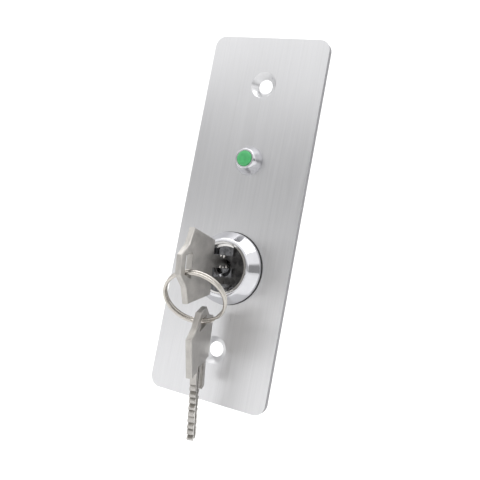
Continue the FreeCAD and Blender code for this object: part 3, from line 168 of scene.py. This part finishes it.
def brushed_sheet():
    """Satin stainless sheet, ground along the plate."""
    colour = (0.60, 0.60, 0.61)
    look = Look("satin stainless", colour, metallic=1.0, roughness=0.34)
    fine = look.noise((5200, 2600, 55), detail=3, roughness=0.7)
    broad = look.noise((900, 500, 12))
    cloudy = look.noise((45, 45, 30), detail=3, roughness=0.5)
    both = look.mix(fine, broad, 0.45)
    clouded = look.mix(both, cloudy, 0.3)
    look.tint(clouded, shade(colour, 0.91), shade(colour, 1.06), from_low=0.36, from_high=0.66)
    look.rough(both, 0.27, 0.42)
    tangent = look.node("ShaderNodeTangent", direction_type="RADIAL", axis="Z")
    look.link(tangent.outputs["Tangent"], look.shader.inputs["Tangent"])
    look.shader.inputs["Anisotropic"].default_value = 0.75
    look.bump(fine, height=0.004, strength=0.4)
    return look.bump(broad, height=0.006, strength=0.2).material


def sheared_edge():
    """The sheared and deburred rim of the sheet: duller and darker than its faces."""
    colour = (0.24, 0.24, 0.25)
    look = Look("sheared edge", colour, metallic=1.0, roughness=0.42)
    drag = look.noise((500, 3200, 500), roughness=0.7)
    look.tint(drag, shade(colour, 0.7), shade(colour, 1.25))
    look.rough(drag, 0.36, 0.5)
    return look.bump(drag, height=0.01, strength=0.5).material


def polished(name, colour, roughness, wear):
    """Plated and polished metal with faint wiping marks."""
    look = Look(name, colour, metallic=1.0, roughness=roughness)
    marks = look.noise((900, 900, 140), detail=5, roughness=0.7, turn=(20, 35, 10))
    haze = look.noise((160, 160, 160), detail=3, roughness=0.5)
    look.tint(haze, shade(colour, 0.93), shade(colour, 1.05))
    look.rough(look.mix(marks, haze), roughness, roughness + wear)
    return look.bump(haze, height=0.004, strength=0.25).material


def worked(name, colour, roughness, grain, depth=0.01, spread=0.12):
    """Sheet, wire or turned metal with its mill grain and small blemishes."""
    look = Look(name, colour, metallic=1.0, roughness=roughness)
    grains = look.noise(grain, detail=6, roughness=0.7)
    spots = look.cells((900, 900, 900))
    look.tint(grains, shade(colour, 0.82), shade(colour, 1.08))
    look.rough(grains, roughness - spread / 2, roughness + spread)
    look.bump(grains, height=depth, strength=0.6)
    return look.bump(spots, height=0.004, strength=0.25).material


def key_metal():
    """Nickel-plated key blank: satin, drawn marks along the key, small dents."""
    colour = (0.42, 0.405, 0.385)
    look = Look("satin nickel key", colour, metallic=1.0, roughness=0.36)
    drawn = look.noise((2600, 260, 260), detail=5, roughness=0.7, turn=(0, 8, 0))
    worn = look.noise((420, 420, 420), detail=5, roughness=0.65)
    dents = look.cells((1300, 1300, 1300))
    patchy = look.mix(drawn, worn, 0.55)
    look.tint(patchy, shade(colour, 0.8), shade(colour, 1.12), from_low=0.34, from_high=0.66)
    look.rough(look.mix(drawn, worn), 0.26, 0.46)
    look.bump(worn, height=0.012, strength=0.6)
    return look.bump(dents, height=0.006, strength=0.3).material


def dark_chrome():
    """The plug's polished face, dark beside the bezel, with scattered wear and fine slanting streaks."""
    colour = (0.11, 0.11, 0.115)
    look = Look("dark polished plug", colour, metallic=1.0, roughness=0.1)
    wear = look.noise((650, 650, 650), detail=5, roughness=0.7)
    streaks = look.noise((2400, 400, 300), turn=(0, 40, 0))
    look.tint(wear, shade(colour, 0.6), shade(colour, 1.8), from_low=0.38, from_high=0.72)
    look.rough(look.mix(wear, streaks), 0.06, 0.2)
    return look.bump(wear, height=0.01, strength=0.35).material


def moulded(name, colour, roughness, grain, depth):
    """Moulded plastic or rubber with a fine eroded texture."""
    look = Look(name, colour, metallic=0.0, roughness=roughness)
    skin = look.noise((grain, grain, grain))
    flow = look.noise((90, 90, 90), detail=3, roughness=0.5)
    look.tint(flow, shade(colour, 0.82), shade(colour, 1.2))
    look.rough(skin, roughness - 0.07, roughness + 0.1)
    return look.bump(skin, height=depth, strength=0.7).material


def lens_green():
    """Diffused green epoxy: cloudy, with a soft skin."""
    colour = (0.045, 0.33, 0.105)
    look = Look("diffused green epoxy", colour, metallic=0.0, roughness=0.38)
    cloud = look.noise((700, 700, 700))
    look.tint(cloud, shade(colour, 0.85), shade(colour, 1.16))
    look.rough(cloud, 0.3, 0.46)
    look.shader.inputs["Subsurface Weight"].default_value = 0.25
    look.shader.inputs["Subsurface Radius"].default_value = (0.3 * MM, 0.9 * MM, 0.4 * MM)
    look.shader.inputs["Subsurface Scale"].default_value = 1.0
    look.shader.inputs["Coat Weight"].default_value = 0.2
    return look.bump(cloud, height=0.006, strength=0.4).material


def studio_paper():
    colour = (0.84, 0.84, 0.84)
    look = Look("studio paper", colour, metallic=0.0, roughness=0.9)
    fibre = look.noise((60, 60, 60))
    look.tint(fibre, shade(colour, 0.99), shade(colour, 1.01))
    return look.bump(fibre, height=0.02, strength=0.1).material


PLATE = brushed_sheet()
CHROME = polished("bright chrome", (0.56, 0.56, 0.58), roughness=0.06, wear=0.06)
HOUSING = polished("nickel plated die casting", (0.62, 0.61, 0.60), roughness=0.16, wear=0.12)
PLUG = dark_chrome()
KEY = key_metal()
RING = worked("nickel plated wire", (0.50, 0.475, 0.44), 0.2, (500, 500, 500), depth=0.006, spread=0.1)
ZINC = worked("zinc plated steel", (0.64, 0.66, 0.68), 0.3, (260, 260, 260))
SPRING = worked("spring steel", (0.5, 0.5, 0.52), 0.28, (1500, 300, 300), depth=0.004)
BRASS = worked("stamped brass", (0.72, 0.53, 0.24), 0.28, (1200, 300, 300))
TINNED = worked("tinned leads", (0.66, 0.66, 0.67), 0.3, (900, 200, 900), depth=0.006)
GREEN = lens_green()
BLACK = moulded("black thermoplastic", (0.025, 0.025, 0.027), 0.42, grain=1800, depth=0.012)
RUBBER = moulded("black rubber", (0.02, 0.02, 0.02), 0.7, grain=1200, depth=0.02)
NYLON = moulded("natural nylon", (0.74, 0.72, 0.65), 0.45, grain=900, depth=0.01)

NODE_MATERIALS = {
    "face_plate": PLATE, "led_bezel": CHROME, "led_lens": GREEN, "led_leads": TINNED,
    "led_plug": BLACK, "led_washer": ZINC, "led_nut": CHROME, "lock_gasket": RUBBER,
    "lock_bezel": CHROME, "lock_housing": HOUSING, "plug": PLUG, "retaining_clip": SPRING,
    "stop_washer": ZINC, "cam": NYLON, "cam_washer": ZINC, "cam_screw": ZINC,
    "lock_washer": ZINC, "lock_nut": HOUSING, "switch_bracket": ZINC, "switch_case": BLACK,
    "switch_cover": BLACK, "switch_plunger": NYLON, "contact_leaf": BRASS, "terminal_com": BRASS,
    "terminal_nc": BRASS, "terminal_no": BRASS, "switch_screws": ZINC, "switch_nuts": ZINC,
    "key": KEY, "spare_key": KEY, "key_ring": RING,
}
for number in range(1, 6):
    NODE_MATERIALS[f"wafer_{number}"] = BRASS
    NODE_MATERIALS[f"wafer_spring_{number}"] = SPRING


def paint(item, material):
    item.data.materials.clear()
    item.data.materials.append(material)


for name, item in nodes.items():
    paint(item, NODE_MATERIALS[name])


# ---------------------------------------------------------------- mesh helpers


def in_scene(name, data):
    item = bpy.data.objects.new(name, data)
    bpy.context.scene.collection.objects.link(item)
    return item


def new_piece(name, mesh, material, body):
    item = in_scene(name, mesh)
    paint(item, material)
    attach(item, body)
    return item


def smooth_mesh(work, name, sharp_angle):
    """The working mesh as a mesh that shades smoothly, except over edges sharper than the angle."""
    mesh = bpy.data.meshes.new(name)
    work.to_mesh(mesh)
    work.free()
    for face in mesh.polygons:
        face.use_smooth = True
    mesh.set_sharp_from_angle(angle=math.radians(sharp_angle))
    return mesh


def across(axis):
    """Two directions square to the axis and to each other."""
    side = axis.orthogonal().normalized()
    return side, axis.cross(side)


MERGE_DISTANCE = 0.0004 * MM
FLAT_ANGLE = math.radians(0.6)
SHARP_ANGLE = math.radians(34)


def dressed(node, width, segments, turned):
    """The node's own shape with every sharp edge broken to a width in mm, standing for the node."""
    work = bmesh.new()
    work.from_mesh(nodes[node].data)
    bmesh.ops.remove_doubles(work, verts=work.verts, dist=MERGE_DISTANCE)
    if turned:
        # A flat ring stays a fan of four-sided faces, because one many-sided face would cover its hole.
        bmesh.ops.join_triangles(work, faces=work.faces, angle_face_threshold=FLAT_ANGLE,
                                 angle_shape_threshold=math.pi)
    else:
        bmesh.ops.dissolve_limit(work, angle_limit=FLAT_ANGLE, verts=work.verts, edges=work.edges)
    sharp = [edge for edge in work.edges
             if len(edge.link_faces) == 2 and edge.calc_face_angle(0) > SHARP_ANGLE]
    bmesh.ops.bevel(work, geom=sharp, offset=width * MM, segments=segments, profile=0.6,
                    affect="EDGES", clamp_overlap=True)
    name = node + "_finished"
    mesh = smooth_mesh(work, name, 40)
    item = new_piece(name, mesh, NODE_MATERIALS[node], BODY_OF[node])
    weighted = item.modifiers.new("even_normals", "WEIGHTED_NORMAL")
    weighted.keep_sharp = True
    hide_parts(node)
    return item


def lathe(name, outline, origin, axis, material, body, steps=96):
    """A turned piece from (radius, height) pairs in mm; height runs along the axis."""
    side, other = across(axis)
    turn = [2 * math.pi * i / steps for i in range(steps)]
    spokes = [side * math.cos(angle) + other * math.sin(angle) for angle in turn]
    work = bmesh.new()
    rings = []
    for radius, height in outline:
        middle = origin + axis * height * MM
        if radius == 0:
            rings.append([work.verts.new(middle)])
        else:
            rings.append([work.verts.new(middle + spoke * radius * MM) for spoke in spokes])
    for first, second in zip(rings, rings[1:]):
        for i in range(steps):
            corners = [first[i % len(first)], first[(i + 1) % len(first)],
                       second[(i + 1) % len(second)], second[i % len(second)]]
            loop = list(dict.fromkeys(corners))
            if len(loop) > 2:
                work.faces.new(loop)
    bmesh.ops.recalc_face_normals(work, faces=work.faces)
    return new_piece(name, smooth_mesh(work, name, 32), material, body)


def sweep(name, path, sections, material, body):
    """A closed tube along a path of (place, across, side), each with its section of (across, side) offsets."""
    work = bmesh.new()
    rings = []
    for (place, across_path, side), section in zip(path, sections):
        rings.append([work.verts.new(place + across_path * x + side * y) for x, y in section])
    count = len(rings[0])
    for first, second in zip(rings, rings[1:]):
        for i in range(count):
            j = (i + 1) % count
            work.faces.new((first[i], first[j], second[j], second[i]))
    work.faces.new(rings[0])
    work.faces.new(list(reversed(rings[-1])))
    bmesh.ops.recalc_face_normals(work, faces=work.faces)
    return new_piece(name, smooth_mesh(work, name, 50), material, body)


THREAD_STEPS = 48       # along one turn
RUN_OUT_STEPS = 16      # over which the crest rises at each end
THREAD_SEAT = 0.12      # mm that the thread's foot goes into the shank
CREST_SHARE = 0.07      # of the pitch, to each side of the crest's middle
ROOT_SHARE = 0.44       # of the pitch, to each side at the root


def thread(name, origin, radius, start, end, pitch, height, material):
    """A raised screw thread on a shank that runs back from the origin; sizes are in mm."""
    side, other = across(BEHIND)
    turns = (end - start) / pitch
    count = int(turns * THREAD_STEPS)
    crest_half, root_half = CREST_SHARE * pitch * MM, ROOT_SHARE * pitch * MM
    root = -THREAD_SEAT * MM
    path, sections = [], []
    for i in range(count + 1):
        angle = 2 * math.pi * turns * i / count
        outward = side * math.cos(angle) + other * math.sin(angle)
        along = start + (end - start) * i / count
        crest = height * min(1.0, i / RUN_OUT_STEPS, (count - i) / RUN_OUT_STEPS) * MM
        path.append((origin + BEHIND * along * MM + outward * radius * MM, outward, BEHIND))
        sections.append([(root, -root_half), (crest, -crest_half), (crest, crest_half), (root, root_half)])
    return sweep(name, path, sections, material, "frame")


# ---------------------------------------------------------------- pieces


# Node, width of its broken edges in mm, segments across them, and whether it has turned faces.
BROKEN_EDGES = (
    ("face_plate", 0.22, 3, False),
    ("led_bezel", 0.12, 2, True),
    ("lock_bezel", 0.12, 2, True),
    ("lock_housing", 0.05, 1, True),
    ("lock_nut", 0.1, 2, True),
    ("led_nut", 0.08, 2, True),
    ("switch_case", 0.1, 2, True),
    ("switch_cover", 0.1, 2, True),
    ("key", 0.07, 2, False),
    ("spare_key", 0.07, 2, False),
    ("plug", 0.04, 1, True),
)


def plate_rim(plate):
    """Puts the sheared edge on the plate's outer rim, and leaves its holes ground bright."""
    corner = 3.5 * MM
    rim = 0.5 * MM
    mesh = plate.data
    mesh.materials.append(sheared_edge())
    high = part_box("face_plate")[1]
    for face in mesh.polygons:
        x, z = abs(face.center.x), abs(face.center.z)
        past = Vector((x - high.x + corner, z - high.z + corner))
        on_sides = x > high.x - rim or z > high.z - rim
        on_corner = past.x > 0 and past.y > 0 and past.length > corner - rim
        if (on_sides or on_corner) and abs(face.normal.y) < 0.9:
            face.material_index = 1


def screw_threads(led_axis):
    """The threads of the lock's barrel and the LED bezel's shank, measured from the plate's front."""
    lock_axis = Vector(joints["plug_turn"]["pos_m"])
    lock_axis.y = PLATE_FRONT
    thread("barrel_thread", lock_axis, radius=9.4, start=3.5, end=20.2, pitch=1.0, height=0.22,
           material=HOUSING)
    thread("led_thread", led_axis, radius=3.95, start=2.7, end=9.2, pitch=0.75, height=0.16,
           material=CHROME)


def domed_lens(led_axis):
    """The lens, with a low dome on its face, a rounded shoulder and a flange at its back."""
    low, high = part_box("led_lens")
    face, back = -low.y / MM, -high.y / MM
    body, flange, flange_height, edge = 2.45, 2.9, 1, 0.05
    outline = [
        (0, back), (flange - 0.04, back), (flange, back + edge), (flange, back + flange_height - edge),
        (flange - 0.04, back + flange_height), (body, back + flange_height),
    ]
    dome = [(body, 0.55), (2.4, 0.32), (2.28, 0.17), (2.05, 0.08), (1.5, 0.03), (0.8, 0.005), (0, 0)]
    outline += [(radius, face - drop) for radius, drop in dome]
    origin = Vector((led_axis.x, 0, led_axis.z))
    lens = lathe("led_lens_domed", outline, origin, AHEAD, GREEN, "frame")
    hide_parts("led_lens")


def split_ring():
    """Two turns of one wire, with the crossing step and the two cut ends of a real split ring."""
    wire_radius = 0.47 * MM
    half_spacing = 0.46 * MM
    steps, sides = 360, 20
    first_angle = math.radians(-62)
    whole_travel = 4 * math.pi - math.radians(6)
    step_middle, step_width = 2 * math.pi, math.radians(34)
    end_size, end_steps = 0.72, 3

    low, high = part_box("key_ring")
    centre = (low + high) / 2
    along = Vector(joints["ring_swing"]["axis"]).normalized()
    up = Vector(joints["ring_swing"]["pos_m"]) - centre
    radius = up.length
    up.normalize()
    normal = along.cross(up).normalized()
    round_angles = [2 * math.pi * k / sides for k in range(sides)]
    path, sections = [], []
    for i in range(steps + 1):
        travelled = whole_travel * i / steps
        share = min(1.0, max(0.0, (travelled - step_middle + step_width / 2) / step_width))
        eased = 3 * share ** 2 - 2 * share ** 3
        angle = first_angle + travelled
        outward = along * math.cos(angle) + up * math.sin(angle)
        place = centre + outward * radius + normal * half_spacing * (2 * eased - 1)
        size = wire_radius * min(1.0, end_size + (1 - end_size) * min(i, steps - i) / end_steps)
        path.append((place, outward, normal))
        sections.append([(size * math.cos(a), size * math.sin(a)) for a in round_angles])
    ring = sweep("key_ring_wire", path, sections, RING, "ring")
    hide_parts("key_ring")


def add_pieces():
    finished = {row[0]: dressed(*row) for row in BROKEN_EDGES}
    plate_rim(finished["face_plate"])
    low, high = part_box("led_bezel")
    led_axis = Vector(((low.x + high.x) / 2, PLATE_FRONT, (low.z + high.z) / 2))
    screw_threads(led_axis)
    domed_lens(led_axis)
    split_ring()


# ---------------------------------------------------------------- stage, light and camera


def stage_sheet():
    """Floor that curves up into a backdrop behind the object."""
    floor = cad_box[0].z - 25 * MM
    front, bend_start, bend, top, half_width, bend_steps = -4.0, 0.30, 0.25, 1.3, 4.0, 12
    profile = [(front, 0.0), (bend_start, 0.0)]
    for i in range(1, bend_steps + 1):
        angle = math.pi / 2 * i / bend_steps
        profile.append((bend_start + bend * math.sin(angle), bend * (1 - math.cos(angle))))
    profile.append((bend_start + bend, top))
    work = bmesh.new()
    rows = [[work.verts.new((x, y, floor + z)) for x in (-half_width, half_width)] for y, z in profile]
    for first, second in zip(rows, rows[1:]):
        work.faces.new((first[0], first[1], second[1], second[0]))
    item = in_scene("studio_sheet", smooth_mesh(work, "studio_sheet", 40))
    paint(item, studio_paper())


# Name, place, size and what it points at, in metres, and power in watts.
SOFTBOXES = (
    ("front_left", (-0.34, -0.42, 0.16), (0.34, 0.5), (0, 0, 0), 0.12),
    ("overhead", (0.0, -0.1, 0.62), (0.7, 0.5), (0, 0, 0), 0.3),
    ("backdrop_wash", (0.0, -0.05, 0.85), (1.4, 0.3), (0, 0.6, 0), 5.0),
    ("right_strip", (0.5, -0.25, 0.1), (0.1, 0.6), (0, 0, 0), 0.06),
)


def softbox(name, place, size, target, power):
    data = bpy.data.lights.new(name, "AREA")
    data.shape = "RECTANGLE"
    data.size, data.size_y = size
    data.energy = power
    item = in_scene(name, data)
    item.location = place
    item.rotation_euler = (Vector(target) - Vector(place)).to_track_quat("-Z", "Y").to_euler()


ROOM_LEVEL = 0.64
# Direction, the angles from it in degrees where the patch starts to fade and has gone, and its level.
ROOM_PATCHES = (
    ((0, 0, 1), 73.5, 78.5, 1.35),          # the bank of light above
    ((0.98, -0.10, 0.08), 11, 19, 0.4),     # a grey card to the right
    ((-0.30, -0.93, 0.05), 5, 12, 0.36),    # a grey card in front, to the left
)


def studio_surroundings():
    """A pale room, brighter from a bank of light above, with grey cards that polish mirrors."""
    world = bpy.data.worlds.new("studio")
    bpy.context.scene.world = world
    world.use_nodes = True
    tree = world.node_tree
    background = tree.nodes["Background"]
    background.inputs["Color"].default_value = (1, 1, 1, 1)
    source = tree.nodes.new("ShaderNodeTexCoord").outputs["Generated"]
    level = None
    for direction, inner, outer, value in ROOM_PATCHES:
        spread = tree.nodes.new("ShaderNodeVectorMath")
        spread.operation = "DOT_PRODUCT"
        spread.inputs[1].default_value = Vector(direction).normalized()
        tree.links.new(source, spread.inputs[0])
        edge = tree.nodes.new("ShaderNodeMapRange")
        edge.interpolation_type = "SMOOTHSTEP"
        edge.inputs["From Min"].default_value = math.cos(math.radians(outer))
        edge.inputs["From Max"].default_value = math.cos(math.radians(inner))
        tree.links.new(spread.outputs["Value"], edge.inputs["Value"])
        mix = tree.nodes.new("ShaderNodeMix")
        tree.links.new(edge.outputs["Result"], mix.inputs["Factor"])
        mix.inputs["B"].default_value = value
        if level is None:
            mix.inputs["A"].default_value = ROOM_LEVEL
        else:
            tree.links.new(level, mix.inputs["A"])
        level = mix.outputs["Result"]
    tree.links.new(level, background.inputs["Strength"])


def add_camera():
    """In front of the object and to its right, with a small lens shift."""
    data = bpy.data.cameras.new("camera")
    data.lens = 42.11
    data.sensor_width = 36
    data.shift_x = -0.125
    data.shift_y = -0.0625
    data.clip_start = 0.01
    data.clip_end = 10
    camera = in_scene("camera", data)
    camera.location = (0.08018, -0.15868, -0.00717)
    camera.rotation_euler = Euler([math.radians(a) for a in (94.04, -10.28, 20.36)])
    bpy.context.scene.camera = camera
    bpy.context.scene.view_settings.view_transform = "Standard"


add_pieces()
stage_sheet()
for row in SOFTBOXES:
    softbox(*row)
studio_surroundings()
add_camera()
